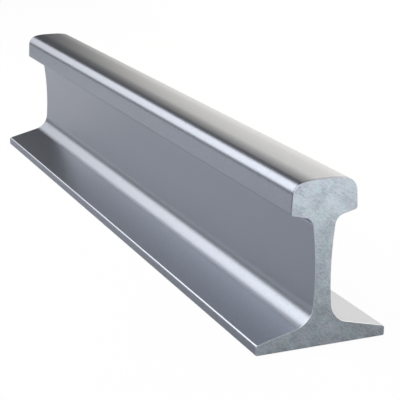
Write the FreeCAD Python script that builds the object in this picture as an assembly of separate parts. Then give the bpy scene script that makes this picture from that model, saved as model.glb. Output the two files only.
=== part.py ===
import FreeCAD, Part
import math
import os

# One cut length of heavy flat-bottom railway rail, hot rolled as a single bar of steel.
# Millimetres. X runs along the rail, Y across it and Z up. The origin is on the underside of the
# foot, half way along the rail and on its plane of symmetry.

# The whole bar
rail_length = 960.0
rail_height = 180.0
end_edge_break = 0.6

# Foot: flat underside, top faces that fall outwards from the web to the thin toes
foot_width = 150.0
toe_height = 11.0
foot_top_slope = 1.0 / 4.0
toe_top_radius = 3.0
toe_bottom_radius = 2.0
foot_fillet_radius = 25.0

# Web: thinnest at its waist, thicker towards head and foot on one large hollow radius
web_thickness = 18.0
waist_height = 77.0
web_side_radius = 400.0
head_fillet_radius = 12.0

# Head: sloping undersides, slightly tapered sides and a crown of three blended radii
head_width = 75.0
head_depth_on_axis = 45.0
head_underside_slope = 1.0 / 4.0
head_side_taper = 1.0 / 20.0
head_lower_radius = 3.0
shoulder_radius = 15.0
crown_side_radius = 80.0
crown_radius = 500.0
crown_middle_width = 20.0


def section_point(across, up):
    """A point of the cross-section, which lies in the YZ plane."""
    return FreeCAD.Vector(0, across, up)


def unit(vector):
    """The same direction with length one."""
    return vector / vector.Length


def straight(start, end):
    """A straight edge of the cross-section."""
    return Part.LineSegment(start, end).toShape()


def arc_about(centre, start, end):
    """The shorter arc about centre from start to end."""
    radius = (start - centre).Length
    middle = centre + unit((start - centre) + (end - centre)) * radius
    return Part.Arc(start, middle, end).toShape()


def round_between_lines(before, corner, after, radius):
    """Rounds the corner of two straight runs. Gives the arc's start, centre and end."""
    back = unit(before - corner)
    ahead = unit(after - corner)
    half_angle = back.getAngle(ahead) / 2
    run_out = radius / math.tan(half_angle)
    centre = corner + unit(back + ahead) * (radius / math.sin(half_angle))
    return corner + back * run_out, centre, corner + ahead * run_out


def blend_line_to_circle(point, heading, inward, radius, circle_centre, circle_radius):
    """Blends a straight run into a larger circle that bends the same way.

    The run passes through point along heading, towards the circle, and the blend's centre lies on
    its inward side. Gives the blend's touching point on the run, its centre and its touching point
    on the circle.
    """
    start = point + inward * radius
    to_centre = circle_centre - start
    along = to_centre.dot(heading)
    miss = to_centre.Length ** 2 - along ** 2
    distance = along + math.sqrt((circle_radius - radius) ** 2 - miss)
    centre = start + heading * distance
    on_run = point + heading * distance
    on_circle = circle_centre + unit(centre - circle_centre) * circle_radius
    return on_run, centre, on_circle


def foot_side():
    """Toe and top of the foot, up to the start of the web. Gives its edges and their two ends."""
    toe = foot_width / 2
    bottom_corner = section_point(toe, 0)
    top_corner = section_point(toe, toe_height)
    towards_web = unit(section_point(-1, foot_top_slope))
    outward = unit(section_point(foot_top_slope, 1))
    web_foot, fillet_centre, fillet_end = blend_line_to_circle(
        top_corner, towards_web, outward, foot_fillet_radius, web_circle_centre(), web_side_radius
    )
    base_end, bottom_centre, toe_start = round_between_lines(
        section_point(0, 0), bottom_corner, top_corner, toe_bottom_radius
    )
    toe_end, top_centre, top_start = round_between_lines(
        bottom_corner, top_corner, web_foot, toe_top_radius
    )
    edges = [
        arc_about(bottom_centre, base_end, toe_start),
        straight(toe_start, toe_end),
        arc_about(top_centre, toe_end, top_start),
        straight(top_start, web_foot),
        arc_about(fillet_centre, web_foot, fillet_end),
    ]
    return edges, base_end, fillet_end


def web_circle_centre():
    """Centre of the large hollow radius, which lies outside the web, level with its waist."""
    return section_point(web_thickness / 2 + web_side_radius, waist_height)


def head_corner():
    """The sharp corner where the head's side and its underside would meet."""
    half_head = head_width / 2
    return section_point(half_head, rail_height - head_depth_on_axis + half_head * head_underside_slope)


def head_underside():
    """Fillet under the head and its sloping underside. Gives the fillet's two ends and centre."""
    towards_web = unit(section_point(-1, -head_underside_slope))
    outward = unit(section_point(head_underside_slope, -1))
    on_underside, centre, on_web = blend_line_to_circle(
        head_corner(), towards_web, outward, head_fillet_radius, web_circle_centre(), web_side_radius
    )
    return on_web, centre, on_underside


def crown_edge():
    """The point where the crown's middle radius passes into the side radius."""
    crown_centre = section_point(0, rail_height - crown_radius)
    half_width = crown_middle_width / 2
    rise = math.sqrt(crown_radius ** 2 - half_width ** 2)
    return crown_centre + section_point(half_width, rise)


def head_side():
    """Head from the web's fillet up to the crown's middle radius. Gives its edges and first point."""
    corner = head_corner()
    on_web, fillet_centre, underside_start = head_underside()
    up_side = unit(section_point(-head_side_taper, 1))
    into_head = unit(section_point(-1, -head_side_taper))
    crown_end = crown_edge()
    crown_centre = section_point(0, rail_height - crown_radius)
    side_centre = crown_end + unit(crown_centre - crown_end) * crown_side_radius
    side_end, shoulder_centre, shoulder_end = blend_line_to_circle(
        corner, up_side, into_head, shoulder_radius, side_centre, crown_side_radius
    )
    underside_end, corner_centre, side_start = round_between_lines(
        underside_start, corner, side_end, head_lower_radius
    )
    edges = [
        arc_about(fillet_centre, on_web, underside_start),
        straight(underside_start, underside_end),
        arc_about(corner_centre, underside_end, side_start),
        straight(side_start, side_end),
        arc_about(shoulder_centre, side_end, shoulder_end),
        arc_about(side_centre, shoulder_end, crown_end),
    ]
    return edges, on_web


def rail_section():
    """The closed cross-section: one side, its mirror image, the flat base and the crown."""
    foot_edges, base_end, web_start = foot_side()
    head_edges, web_end = head_side()
    side_edges = foot_edges + [arc_about(web_circle_centre(), web_start, web_end)] + head_edges
    plane_of_symmetry = FreeCAD.Vector(0, 1, 0)
    other_edges = [edge.mirror(FreeCAD.Vector(0, 0, 0), plane_of_symmetry) for edge in side_edges]
    crown_end = crown_edge()
    other_crown_end = section_point(-crown_end.y, crown_end.z)
    crown = Part.Arc(crown_end, section_point(0, rail_height), other_crown_end).toShape()
    base = straight(section_point(-base_end.y, 0), base_end)
    ordered = Part.sortEdges(side_edges + other_edges + [crown, base])[0]
    return Part.Wire(ordered)


def rail():
    """The bar: the section rolled out along X, cut square, with the burr taken off both ends."""
    section = rail_section()
    section.translate(FreeCAD.Vector(-rail_length / 2, 0, 0))
    bar = Part.Face(section).extrude(FreeCAD.Vector(rail_length, 0, 0))
    end_edges = [edge for edge in bar.Edges if edge.BoundBox.XLength < end_edge_break / 2]
    return bar.makeChamfer(end_edge_break, end_edges)


def main():
    os.makedirs("parts", exist_ok=True)
    bar = rail()
    bar.exportStep("parts/rail.step")
    print("rail: valid", bar.isValid(), "solids", len(bar.Solids), "faces", len(bar.Faces))
    print("section area mm2", round(bar.Volume / rail_length, 1), "volume mm3", round(bar.Volume))


main()
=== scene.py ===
import math

import bpy
from mathutils import Matrix, Vector


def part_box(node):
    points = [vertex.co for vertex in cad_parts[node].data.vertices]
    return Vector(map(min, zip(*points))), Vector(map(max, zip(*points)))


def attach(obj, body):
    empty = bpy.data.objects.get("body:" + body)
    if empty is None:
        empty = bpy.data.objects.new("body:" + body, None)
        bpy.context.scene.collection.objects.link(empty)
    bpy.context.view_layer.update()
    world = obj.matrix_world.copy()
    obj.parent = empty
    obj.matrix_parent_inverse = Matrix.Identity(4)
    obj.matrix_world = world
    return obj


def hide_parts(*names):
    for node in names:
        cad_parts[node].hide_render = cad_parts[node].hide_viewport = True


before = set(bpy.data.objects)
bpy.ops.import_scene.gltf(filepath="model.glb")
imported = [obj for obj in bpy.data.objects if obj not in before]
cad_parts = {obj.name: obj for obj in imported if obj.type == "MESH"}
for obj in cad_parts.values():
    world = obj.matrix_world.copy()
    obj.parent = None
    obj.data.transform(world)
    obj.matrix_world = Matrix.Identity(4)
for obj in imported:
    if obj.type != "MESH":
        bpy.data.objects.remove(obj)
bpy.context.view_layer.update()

# The rail
# One length of flat-bottom rail, hot rolled in a single piece from a bloom of carbon steel, so nothing is
# fastened to it. The rolls leave a smooth blue-grey skin with faint lines along the bar. Both ends are
# sawn square, dressed with a grinder, and have the burr taken off their edges.
rail_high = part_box("rail")[1]
half_length = rail_high.x
rail_height = rail_high.z
half_foot = rail_high.y

toe_height = 0.011
foot_slope = 1 / 4
toe_top_radius = 0.003
toe_bottom_radius = 0.002
foot_fillet_radius = 0.025
web_thickness = 0.018
waist_height = 0.077
web_side_radius = 0.4
head_fillet_radius = 0.012
half_head = 0.0375
head_depth_on_axis = 0.045
head_side_taper = 1 / 20
head_lower_radius = 0.003
shoulder_radius = 0.015
crown_side_radius = 0.08
crown_radius = 0.5
half_crown_middle = 0.01
edge_break = 0.0006
edge_break_steps = 4
widest_arc_step = math.radians(2.5)
length_step = 0.02

head_start = rail_height - head_depth_on_axis
head_corner = head_start + half_head * foot_slope


def arc(centre, start, end, side):
    """Points from start to end about centre, each with its outward direction.

    Side is 1 on a bulge and -1 in a hollow.
    """
    first = start - centre
    turn = math.remainder(math.atan2(*(end - centre)) - math.atan2(*first), 2 * math.pi)
    steps = math.ceil(abs(turn) / widest_arc_step)
    spokes = [first @ Matrix.Rotation(turn * step / steps, 2) for step in range(steps + 1)]
    return [(centre + spoke, side * spoke.normalized()) for spoke in spokes]


def corner_round(before, corner, after, radius):
    """The round at a corner between two straight runs."""
    back = (before - corner).normalized()
    ahead = (after - corner).normalized()
    half_angle = back.angle(ahead) / 2
    run_out = radius / math.tan(half_angle)
    centre = corner + (back + ahead).normalized() * radius / math.sin(half_angle)
    return arc(centre, corner + back * run_out, corner + ahead * run_out, 1)


def blend_centre(point, heading, inward, radius, circle_centre, circle_radius):
    """Centre of the round between a straight run and a larger circle that bends the same way."""
    start = point + inward * radius
    along = (circle_centre - start).dot(heading)
    miss = (circle_centre - start).length_squared - along ** 2
    return start + heading * (along + math.sqrt((circle_radius - radius) ** 2 - miss))


def on_circle(circle_centre, radius, towards):
    """The point of a circle that lies in the direction of another point."""
    return circle_centre + (towards - circle_centre).normalized() * radius


def side_of_section():
    """One side of the cross-section (across, up), from under the foot to the middle of the crown."""
    toe_corner = Vector((half_foot, toe_height))
    web_centre = Vector((web_thickness / 2 + web_side_radius, waist_height))
    up_foot = Vector((-1, foot_slope)).normalized()
    off_foot = Vector((foot_slope, 1)).normalized()
    fillet = blend_centre(toe_corner, up_foot, off_foot, foot_fillet_radius, web_centre, web_side_radius)
    foot_end = fillet - off_foot * foot_fillet_radius

    low_corner = Vector((half_head, head_corner))
    under_head = Vector((-1, -foot_slope)).normalized()
    off_head = Vector((foot_slope, -1)).normalized()
    throat = blend_centre(low_corner, under_head, off_head, head_fillet_radius, web_centre, web_side_radius)
    throat_end = throat - off_head * head_fillet_radius
    web_start = on_circle(web_centre, web_side_radius, fillet)
    web_end = on_circle(web_centre, web_side_radius, throat)

    crown_centre = Vector((0, rail_height - crown_radius))
    crown_rise = math.sqrt(crown_radius ** 2 - half_crown_middle ** 2)
    crown_edge = crown_centre + Vector((half_crown_middle, crown_rise))
    flank_centre = on_circle(crown_edge, crown_side_radius, crown_centre)
    up_side = Vector((-head_side_taper, 1)).normalized()
    into_head = Vector((-1, -head_side_taper)).normalized()
    shoulder = blend_centre(low_corner, up_side, into_head, shoulder_radius, flank_centre, crown_side_radius)
    side_end = shoulder - into_head * shoulder_radius
    shoulder_end = on_circle(flank_centre, crown_side_radius, shoulder)

    foot_corner = Vector((half_foot, 0))
    return [
        *corner_round(Vector((0, 0)), foot_corner, toe_corner, toe_bottom_radius),
        *corner_round(foot_corner, toe_corner, foot_end, toe_top_radius),
        *arc(fillet, foot_end, web_start, -1),
        *arc(web_centre, web_start, web_end, -1)[1:],
        *arc(throat, web_end, throat_end, -1)[1:],
        *corner_round(throat_end, low_corner, side_end, head_lower_radius),
        *arc(shoulder, side_end, shoulder_end, 1),
        *arc(flank_centre, shoulder_end, crown_edge, 1)[1:],
        *arc(crown_centre, crown_edge, Vector((0, rail_height)), 1)[1:],
    ]


def rings_along_rail():
    """Places along the rail, each with the section's inset there and how far its skin leans to the end."""
    ends = []
    for step in range(edge_break_steps + 1):
        lean = math.pi / 2 * (1 - step / edge_break_steps)
        set_back = edge_break * (1 - math.sin(lean))
        inset = edge_break * (1 - math.cos(lean))
        ends.append((half_length - set_back, inset, lean))
    straight = half_length - edge_break
    spans = round(2 * straight / length_step)
    middle = [(straight * (2 * span / spans - 1), 0, 0) for span in range(1, spans)]
    return [(-x, inset, -lean) for x, inset, lean in ends] + middle + ends[::-1]


right_side = side_of_section()
left_side = [(Vector((-p.x, p.y)), Vector((-n.x, n.y))) for p, n in reversed(right_side[:-1])]
section = right_side + left_side

points = []
directions = []
for x, inset, lean in rings_along_rail():
    for place, outward in section:
        across, up = place - outward * inset
        points.append((x, across, up))
        directions.append(Vector((math.sin(lean), *(outward * math.cos(lean)))))

count = len(section)
rings = len(points) // count
skin_faces = []
for ring in range(rings - 1):
    here = ring * count
    ahead = here + count
    for spot in range(count):
        beside = (spot + 1) % count
        skin_faces.append((here + spot, here + beside, ahead + beside, ahead + spot))
end_faces = [tuple(reversed(range(count))), tuple(range((rings - 1) * count, rings * count))]

rail_mesh = bpy.data.meshes.new("rail_bar")
rail_mesh.from_pydata(points, [], skin_faces + end_faces)
rail_mesh.validate()
rail_mesh.shade_smooth()
corner_directions = []
for face in rail_mesh.polygons:
    if face.index < len(skin_faces):
        corner_directions += [directions[corner] for corner in face.vertices]
    else:
        corner_directions += [face.normal.copy()] * len(face.vertices)
rail_mesh.normals_split_custom_set(corner_directions)


class Wire:
    """A socket of a shader tree. Sums written with wires add their Math nodes, and node adds any other."""

    def __init__(self, tree, socket=None):
        self.tree = tree
        self.socket = socket

    def node(self, kind, settings, sockets, output=0):
        """Adds a node, sets its settings, then gives its sockets values or links. Returns one output."""
        made = self.tree.nodes.new("ShaderNode" + kind)
        for name, value in settings.items():
            setattr(made, name, value)
        by_name = {socket.identifier: socket for socket in made.inputs}
        for name, value in sockets.items():
            if isinstance(value, Wire):
                self.tree.links.new(value.socket, by_name[name])
            else:
                by_name[name].default_value = value
        return Wire(self.tree, made.outputs[output]) if len(made.outputs) else None

    def maths(self, operation, first, second=0.0):
        """A Math node on one or two numbers."""
        return self.node("Math", {"operation": operation}, {"Value": first, "Value_001": second})

    def __add__(self, other):
        return self.maths("ADD", self, other)

    def __sub__(self, other):
        return self.maths("SUBTRACT", self, other)

    def __rsub__(self, other):
        return self.maths("SUBTRACT", other, self)

    def __mul__(self, other):
        return self.maths("MULTIPLY", self, other)

    def __truediv__(self, other):
        return self.maths("DIVIDE", self, other)

    def __rtruediv__(self, other):
        return self.maths("DIVIDE", other, self)

    __radd__ = __add__
    __rmul__ = __mul__

    def axis(self, letter):
        """One of the three numbers of a place."""
        return self.node("SeparateXYZ", {}, {"Vector": self}, output=letter)

    def ease(self, start, end):
        """0 up to start and 1 from end on, with a smooth rise between."""
        return self.node("MapRange", {"interpolation_type": "SMOOTHSTEP"}, {
            "Value": self, "From Min": start, "From Max": end})

    def past(self, line, start, end):
        """The same rise, with its start and end measured from a line of the shape."""
        return self.ease(line + start, line + end)

    def tint(self, low, high):
        """Blends two colours by this value."""
        ends = [end if isinstance(end, Wire) else (*end, 1) for end in (low, high)]
        return self.node("Mix", {"data_type": "RGBA"}, {
            "Factor_Float": self, "A_Color": ends[0], "B_Color": ends[1]}, output=2)


def new_finish(name):
    """An empty material and the first wire of its tree."""
    material = bpy.data.materials.new(name)
    material.use_nodes = True
    material.node_tree.nodes.clear()
    return material, Wire(material.node_tree)


# The skin: fine scale everywhere but on the web, with faint lines and broad bands drawn out along the bar
rolled_dark = (0.298, 0.315, 0.354)
rolled_pale = (0.446, 0.472, 0.531)
rolled_roughness = 0.3
rolled_roughness_spread = 0.05
scale_fineness = 480.0
scale_share = 1.1
web_lower_edge = (0.036, 0.044)
web_upper_edge = (0.125, 0.133)
roll_line_share = 0.06
roll_line_stretch = (4, 700, 700)
roll_line_depth = 0.000003
broad_band_share = 0.1
broad_band_stretch = (3, 40, 40)

rolled_steel, wire = new_finish("rolled_steel")
place = wire.node("TexCoord", {}, {}, output="Object")
line_place = wire.node("Mapping", {"vector_type": "POINT"}, {"Vector": place, "Scale": roll_line_stretch})
roll_lines = wire.node("TexNoise", {}, {"Vector": line_place, "Scale": 1.0, "Detail": 4.0, "Roughness": 0.6})
band_place = wire.node("Mapping", {"vector_type": "POINT"}, {"Vector": place, "Scale": broad_band_stretch})
broad_bands = wire.node("TexNoise", {}, {"Vector": band_place, "Scale": 1.0, "Detail": 3.0})
fine_scale = wire.node("TexNoise", {}, {"Vector": place, "Scale": scale_fineness, "Detail": 3.0})

# Both sides and both ends are alike, so places on the skin are told by their distance from the middle
along = wire.maths("ABSOLUTE", place.axis("X"))
across = wire.maths("ABSOLUTE", place.axis("Y"))
up = place.axis("Z")
on_web = up.ease(*web_lower_edge) * (1 - up.ease(*web_upper_edge))

skin_tone = (fine_scale - 0.5) * scale_share * (1 - on_web)
skin_tone = skin_tone + (roll_lines - 0.5) * roll_line_share + (broad_bands - 0.5) * broad_band_share
skin_colour = (skin_tone + 0.5).tint(rolled_dark, rolled_pale)

# Painted light: the slopes under the head are painted paler, so that the hollow below shows a brighter
# reflection of them
underside_painted_light = (0.60, 0.63, 0.69)
underside_lower_edge = (0.0005, 0.0025)
underside_upper_edge = (-0.0019, -0.0009)
underside_outer_edge = (-0.0035, -0.001)
underside_light_mask = up.past(head_start, *underside_lower_edge)
underside_light_mask = underside_light_mask * (1 - up.past(head_corner, *underside_upper_edge))
underside_light_mask = underside_light_mask * (1 - across.past(half_head, *underside_outer_edge))
skin_colour = underside_light_mask.tint(skin_colour, underside_painted_light)

# Painted shade: the head's skin is darkened in a narrow strip beside each end
painted_edge_shade = (0.19, 0.20, 0.23)
edge_shade_lower_edge = (-0.001, 0.002)
edge_shade_reach = (-0.0032, -0.0016)
edge_shade_mask = along.past(half_length, *edge_shade_reach) * up.past(head_start, *edge_shade_lower_edge)
skin_colour = edge_shade_mask.tint(skin_colour, painted_edge_shade)

# Painted shade: the corners under the head are darkened close to each end
painted_corner_shade = (0.075, 0.08, 0.095)
corner_shade_lower_edge = (-0.001, 0.0004)
corner_shade_upper_edge = (0.15, 0.16)
corner_shade_outer_edge = (0.018, 0.024)
corner_shade_reach = (-0.024, -0.009)
corner_shade_mask = along.past(half_length, *corner_shade_reach)
corner_shade_mask = corner_shade_mask * up.past(head_start, *corner_shade_lower_edge) * (1 - up.ease(*corner_shade_upper_edge))
corner_shade_mask = corner_shade_mask * (1 - across.ease(*corner_shade_outer_edge))
skin_colour = corner_shade_mask.tint(skin_colour, painted_corner_shade)

# Painted shade: a fine dark line runs along the lower corners of the head
corner_line_shade = (0.265, 0.28, 0.32)
corner_line_lower_edge = (-0.0009, 0.0001)
corner_line_upper_edge = (0.0014, 0.0022)
corner_line_inner_edge = (-0.003, -0.0015)
corner_line_shade_mask = up.past(head_corner, *corner_line_lower_edge)
corner_line_shade_mask = corner_line_shade_mask * (1 - up.past(head_corner, *corner_line_upper_edge))
corner_line_shade_mask = corner_line_shade_mask * across.past(half_head, *corner_line_inner_edge)
skin_colour = corner_line_shade_mask.tint(skin_colour, corner_line_shade)

# Painted highlight: the hollow where the foot runs into the web is painted paler on its foot side, which
# widens the highlight there; it is also duller
hollow_painted_highlight = (0.45, 0.47, 0.525)
hollow_roughness = 0.075
hollow_inner_edge = (0.0195, 0.0225)
hollow_outer_edge = (0.0262, 0.0285)
hollow_upper_edge = (0.03, 0.035)
hollow_highlight_and_dullness = across.ease(*hollow_inner_edge) * (1 - across.ease(*hollow_outer_edge))
hollow_highlight_and_dullness = hollow_highlight_and_dullness * (1 - up.ease(*hollow_upper_edge))
skin_colour = hollow_highlight_and_dullness.tint(skin_colour, hollow_painted_highlight)

# Painted highlight along the top edges of the toes
toe_painted_highlight = (0.57, 0.59, 0.64)
toe_highlight_inner_edge = (-0.0022, -0.0016)
toe_highlight_lower_edge = (-0.0004, 0.0001)
toe_highlight_mask = across.past(half_foot, *toe_highlight_inner_edge) * up.past(toe_height, *toe_highlight_lower_edge)
skin_colour = toe_highlight_mask.tint(skin_colour, toe_painted_highlight)

skin_bump = wire.node("Bump", {}, {"Height": roll_lines, "Distance": roll_line_depth, "Strength": 1.0})
skin = wire.node("BsdfPrincipled", {}, {
    "Base Color": skin_colour,
    "Metallic": 1.0,
    "Roughness": rolled_roughness + rolled_roughness_spread * skin_tone + hollow_roughness * hollow_highlight_and_dullness,
    "Normal": skin_bump,
})
wire.node("OutputMaterial", {}, {"Surface": skin})

# The sawn ends: grinding strokes over fine grain, in patches of two steel colours, with painted light making
# them palest on the head
ground_teal = (0.42, 0.49, 0.53)
ground_pale_teal = (0.69, 0.80, 0.83)
ground_lilac = (0.46, 0.49, 0.55)
ground_pale_lilac = (0.74, 0.79, 0.86)
ground_roughness = 0.42
ground_roughness_spread = 0.1
grind_angle = math.radians(30)
grind_depth = 0.00003
stroke_stretch = (60, 200, 750)
grain_fineness = 600.0
patch_fineness = 70.0
patch_shift = (0.2, 0.0, 0.0)
hue_fineness = 95.0
stroke_share = 0.4
grain_share = 0.2
patch_share = 0.4
painted_head_light_share = 0.03
painted_head_light_start = 0.001
tone_contrast = (0.34, 0.66)
hue_contrast = (0.35, 0.65)

sawn_end, wire = new_finish("sawn_end")
place = wire.node("TexCoord", {}, {}, output="Object")
turned = wire.node("Mapping", {"vector_type": "POINT"}, {"Vector": place, "Rotation": (grind_angle, 0, 0)})
stroke_place = wire.node("Mapping", {"vector_type": "POINT"}, {"Vector": turned, "Scale": stroke_stretch})
strokes = wire.node("TexNoise", {}, {"Vector": stroke_place, "Scale": 1.0, "Detail": 2.0, "Distortion": 0.4})
grains = wire.node("TexNoise", {}, {"Vector": place, "Scale": grain_fineness, "Detail": 2.0})
patch_place = wire.node("Mapping", {"vector_type": "POINT"}, {"Vector": place, "Location": patch_shift})
patches = wire.node("TexNoise", {}, {"Vector": patch_place, "Scale": patch_fineness, "Detail": 3.0})
hues = wire.node("TexNoise", {}, {"Vector": place, "Scale": hue_fineness, "Detail": 2.0, "Distortion": 1.0})
# Painted light: the head part of each end is a little paler
painted_head_light = place.axis("Z").ease(head_start + painted_head_light_start, head_corner)
end_tone = strokes * stroke_share + grains * grain_share + patches * patch_share + painted_head_light * painted_head_light_share
end_tone = end_tone.ease(*tone_contrast)
teal = end_tone.tint(ground_teal, ground_pale_teal)
lilac = end_tone.tint(ground_lilac, ground_pale_lilac)
end_colour = hues.ease(*hue_contrast).tint(teal, lilac)
end_bump = wire.node("Bump", {}, {"Height": strokes, "Distance": grind_depth, "Strength": 1.0})
end_face = wire.node("BsdfPrincipled", {}, {
    "Base Color": end_colour,
    "Metallic": 1.0,
    "Roughness": ground_roughness + ground_roughness_spread * (strokes - 0.5),
    "Normal": end_bump,
})
wire.node("OutputMaterial", {}, {"Surface": end_face})

# The edges round each end, filed where the burr was
filed_colour = (0.66, 0.70, 0.75)
filed_roughness = 0.35

filed_edge, wire = new_finish("filed_edge")
edge = wire.node("BsdfPrincipled", {}, {
    "Base Color": (*filed_colour, 1),
    "Metallic": 1.0,
    "Roughness": filed_roughness,
})
wire.node("OutputMaterial", {}, {"Surface": edge})

rail_mesh.materials.append(rolled_steel)
rail_mesh.materials.append(sawn_end)
rail_mesh.materials.append(filed_edge)
for face in rail_mesh.polygons:
    if face.index >= len(skin_faces):
        face.material_index = 1
    elif abs(face.center.x) > half_length - edge_break:
        face.material_index = 2

rail_bar = bpy.data.objects.new("rail_bar", rail_mesh)
bpy.context.scene.collection.objects.link(rail_bar)
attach(rail_bar, "root")
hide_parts("rail")

# The floor
# A wide sheet of matt card under the rail. Its colour carries a painted shadow, greyer close to the rail and
# in front of its end, and painted light, paler on the rail's right side. The camera sees it bleached to the
# white of a product picture, with a trace of the rail's shadow.
floor_half = 30.0
floor_drop = 0.0002
shaded_card = 0.42
open_card = 0.63
card_tint = (0.98, 1.0, 1.06)
painted_shade_reach = 0.55
right_painted_light_gain = 0.35
front_card = 0.95
front_shade = 0.24
front_reach = 0.5
front_edge = 0.01
bleached_share = 0.96
steel_sees_bleached = 0.1

floor_mesh = bpy.data.meshes.new("floor")
floor_mesh.from_pydata([
    (-floor_half, -floor_half, -floor_drop),
    (floor_half, -floor_half, -floor_drop),
    (floor_half, floor_half, -floor_drop),
    (-floor_half, floor_half, -floor_drop),
], [], [(0, 1, 2, 3)])
pale_card, wire = new_finish("pale_card")
seen_by_camera = wire.node("LightPath", {}, {}, output="Is Camera Ray")
seen_in_steel = wire.node("LightPath", {}, {}, output="Is Glossy Ray")
seen_through = wire.node("LightPath", {}, {}, output="Is Transmission Ray")
position = wire.node("NewGeometry", {}, {}, output="Position")
along = position.axis("X")
across = position.axis("Y")
past_end = wire.maths("MAXIMUM", wire.maths("ABSOLUTE", along) - half_length, 0.0)
past_toe = wire.maths("MAXIMUM", wire.maths("ABSOLUTE", across) - half_foot, 0.0)
away = wire.maths("SQRT", past_end * past_end + past_toe * past_toe)
# Painted shadow: the card darkens towards the rail's foot and just in front of its end
opening = wire.maths("SQRT", wire.maths("MINIMUM", away / painted_shade_reach, 1.0))
side_level = shaded_card + (open_card - shaded_card) * opening
front_level = front_shade + (front_card - front_shade) * (along - half_length).ease(0, front_reach)
in_front = along.ease(half_length - front_edge, half_length + front_edge)
# Painted light: the card is paler on the rail's right side
side_level = side_level * (1 + right_painted_light_gain * across.ease(0, half_foot))
card_level = side_level + (front_level - side_level) * in_front
card_colour = card_level.tint((0, 0, 0), card_tint)
card = wire.node("BsdfDiffuse", {}, {"Color": seen_by_camera.tint(card_colour, (1, 1, 1))})
bleach = wire.node("Emission", {}, {"Color": (1, 1, 1, 1), "Strength": 1.0})
bleaching = bleached_share * (seen_by_camera + seen_through) + steel_sees_bleached * seen_in_steel
floor_look = wire.node("MixShader", {}, {"Fac": bleaching, "Shader": card, "Shader_001": bleach})
wire.node("OutputMaterial", {}, {"Surface": floor_look})
pale_card.cycles.emission_sampling = "NONE"
floor_mesh.materials.append(pale_card)
floor = bpy.data.objects.new("floor", floor_mesh)
bpy.context.scene.collection.objects.link(floor)

# The light tent
# A tunnel of white cloth over the rail, open in front and lit from outside. One long soft lamp fills its
# left side and a warmer one its right side. The strip between them stays unlit, so that the polished skin
# shows bright bands with a dark one between them. Angles are in degrees from straight up, left negative.
tent_radius = 0.65
tent_axis_height = 0.1
tent_back = -7.0
tent_front = 1.0
tent_half_angle = 96
tent_steps = 48
lamp_white = (1.0, 1.0, 1.0)
warm_white = (1.05, 1.0, 0.91)
unlit_blue = (0.97, 1.0, 1.05)
left_level = 2.22
left_reach = 5.1
left_low_start = -76.5
left_low_end = -70.5
left_low_shift = -0.4
left_high_start = -21.3
left_high_end = -16.3
left_high_shift = 4.4
left_front_start = 0.35
left_front_end = 0.8
right_level = 1.4
right_fade_start = 1.1
right_fade_end = 2.8
right_start = 18.5
right_end = 52.5
right_shift = 7.0
right_low_loss = 0.15
right_low_start = 60
right_low_full = 80
unlit_level = 0.155
unlit_fall = 0.03
unlit_least = 0.02
low_level = 0.11
low_start = -84
low_end = -68

angles = [math.radians(tent_half_angle * (2 * step / tent_steps - 1)) for step in range(tent_steps + 1)]
tent_points = [
    (x, tent_radius * math.sin(angle), tent_axis_height + tent_radius * math.cos(angle))
    for x in (tent_back, tent_front)
    for angle in angles
]
tent_row = tent_steps + 1
tent_faces = [(i, i + 1, tent_row + i + 1, tent_row + i) for i in range(tent_steps)]
tent_mesh = bpy.data.meshes.new("light_tent")
tent_mesh.from_pydata(tent_points, [], tent_faces)

tent_cloth, wire = new_finish("tent_cloth")
position = wire.node("NewGeometry", {}, {}, output="Position")
along = position.axis("X")
angle = wire.maths("ARCTAN2", position.axis("Y"), position.axis("Z") - tent_axis_height) * math.degrees(1)
distance = wire.maths("ABSOLUTE", along)
left_lamp = left_level / (1 + distance * distance / left_reach)
left_lamp = left_lamp * (angle - left_low_shift * distance).ease(left_low_start, left_low_end)
left_lamp = left_lamp * (1 - (angle - left_high_shift * distance).ease(left_high_start, left_high_end))
left_lamp = left_lamp * (1 - along.ease(left_front_start, left_front_end))
right_lamp = right_level * (1 - distance.ease(right_fade_start, right_fade_end))
right_lamp = right_lamp * (angle - right_shift * distance).ease(right_start, right_end)
right_lamp = right_lamp * (1 - right_low_loss * distance * angle.ease(right_low_start, right_low_full))
unlit = wire.maths("MAXIMUM", unlit_level - unlit_fall * distance, unlit_least)
low_left = low_level * (1 - angle.ease(low_start, low_end))
strength = left_lamp + right_lamp + low_left + unlit
cloth_colour = ((unlit + low_left) / strength).tint(lamp_white, unlit_blue)
light_colour = (right_lamp / strength).tint(cloth_colour, warm_white)
bright_colour = wire.node("VectorMath", {"operation": "SCALE"}, {"Vector": light_colour, "Scale": strength})
glow = wire.node("Emission", {}, {"Color": bright_colour, "Strength": 1.0})
wire.node("OutputMaterial", {}, {"Surface": glow})
tent_mesh.materials.append(tent_cloth)
light_tent = bpy.data.objects.new("light_tent", tent_mesh)
light_tent.visible_camera = False
bpy.context.scene.collection.objects.link(light_tent)

# The room
# Plain white all round, at the level of white paper. It shows past the edge of the floor, and lights the
# near end through the open front of the tent.
room = bpy.data.worlds.new("room")
room.use_nodes = True
room.node_tree.nodes.clear()
wire = Wire(room.node_tree)
room_light = wire.node("Background", {}, {"Color": (1, 1, 1, 1), "Strength": 1.0})
wire.node("OutputWorld", {}, {"Surface": room_light})
bpy.context.scene.world = room

# The camera
# It stands to the front left of the near end, a little above the rail, and looks down along it. Its
# place, turn and lens were measured from the outline of the rail in the photo.
camera_place = (1.5872, -0.6031, 0.5284)
camera_heading = math.radians(67.146)
camera_down = math.radians(16.492)
camera_roll = math.radians(0.146)
camera_data = bpy.data.cameras.new("camera")
camera_data.sensor_width = 36.0
camera_data.lens = 117.52
camera_data.clip_end = 200.0
camera = bpy.data.objects.new("camera", camera_data)
camera.matrix_world = (
    Matrix.Translation(camera_place)
    @ Matrix.Rotation(camera_heading, 4, "Z")
    @ Matrix.Rotation(math.pi / 2 - camera_down, 4, "X")
    @ Matrix.Rotation(camera_roll, 4, "Z")
)
bpy.context.scene.collection.objects.link(camera)
bpy.context.scene.camera = camera
bpy.context.scene.view_settings.view_transform = "Standard"
